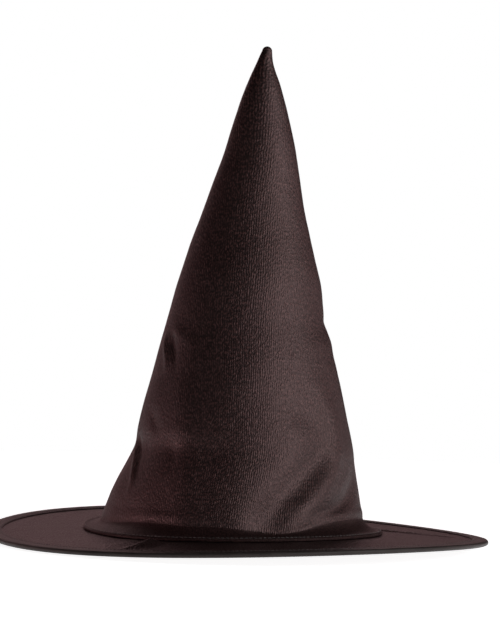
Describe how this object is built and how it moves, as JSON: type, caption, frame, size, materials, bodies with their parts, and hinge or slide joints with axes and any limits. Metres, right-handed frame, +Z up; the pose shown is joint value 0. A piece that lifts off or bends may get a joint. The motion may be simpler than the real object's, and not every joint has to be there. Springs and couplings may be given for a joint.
{
  "type": "witch hat",
  "caption": "Pointed costume hat: a lined, stiffened satin cone sewn to a flat round brim with a wired, bound edge, open underneath for the head",
  "frame": {"origin": "centre of the brim's underside, which is the middle of the box's bottom face", "axes": "+Z up through the point of the crown, -Y the front, +X the wearer's left, the side the point leans towards"},
  "size_m": [0.38, 0.38, 0.375],
  "materials": {
    "crown_satin": "lustrous dark brown-black satin with fine upright ribs",
    "brim_satin": "dark brown-black satin, slightly crinkled",
    "binding": "smooth folded grey-black tape with a soft sheen",
    "interlining": "matt bonded fibre",
    "stiffener": "matt pressed felt board",
    "sweatband": "matt grosgrain ribbon",
    "thread": "twisted polyester thread",
    "label": "blank woven tape",
    "wire_steel": "drawn spring wire",
    "joiner_metal": "crimped sleeve"
  },
  "bodies": {
    "root": {"crown_shell": "crown_satin", "crown_interlining": "interlining", "crown_seam_stitching": "thread", "foot_stitching": "thread", "brim_top_cover": "brim_satin", "brim_stiffener": "stiffener", "brim_bottom_cover": "brim_satin", "brim_wire": "wire_steel", "brim_wire_joiner": "joiner_metal", "brim_edge_binding": "binding", "binding_stitching_top": "thread", "binding_stitching_bottom": "thread", "sweatband": "sweatband", "sweatband_stitching": "thread", "care_label": "label"}
  },
  "joints": []
}
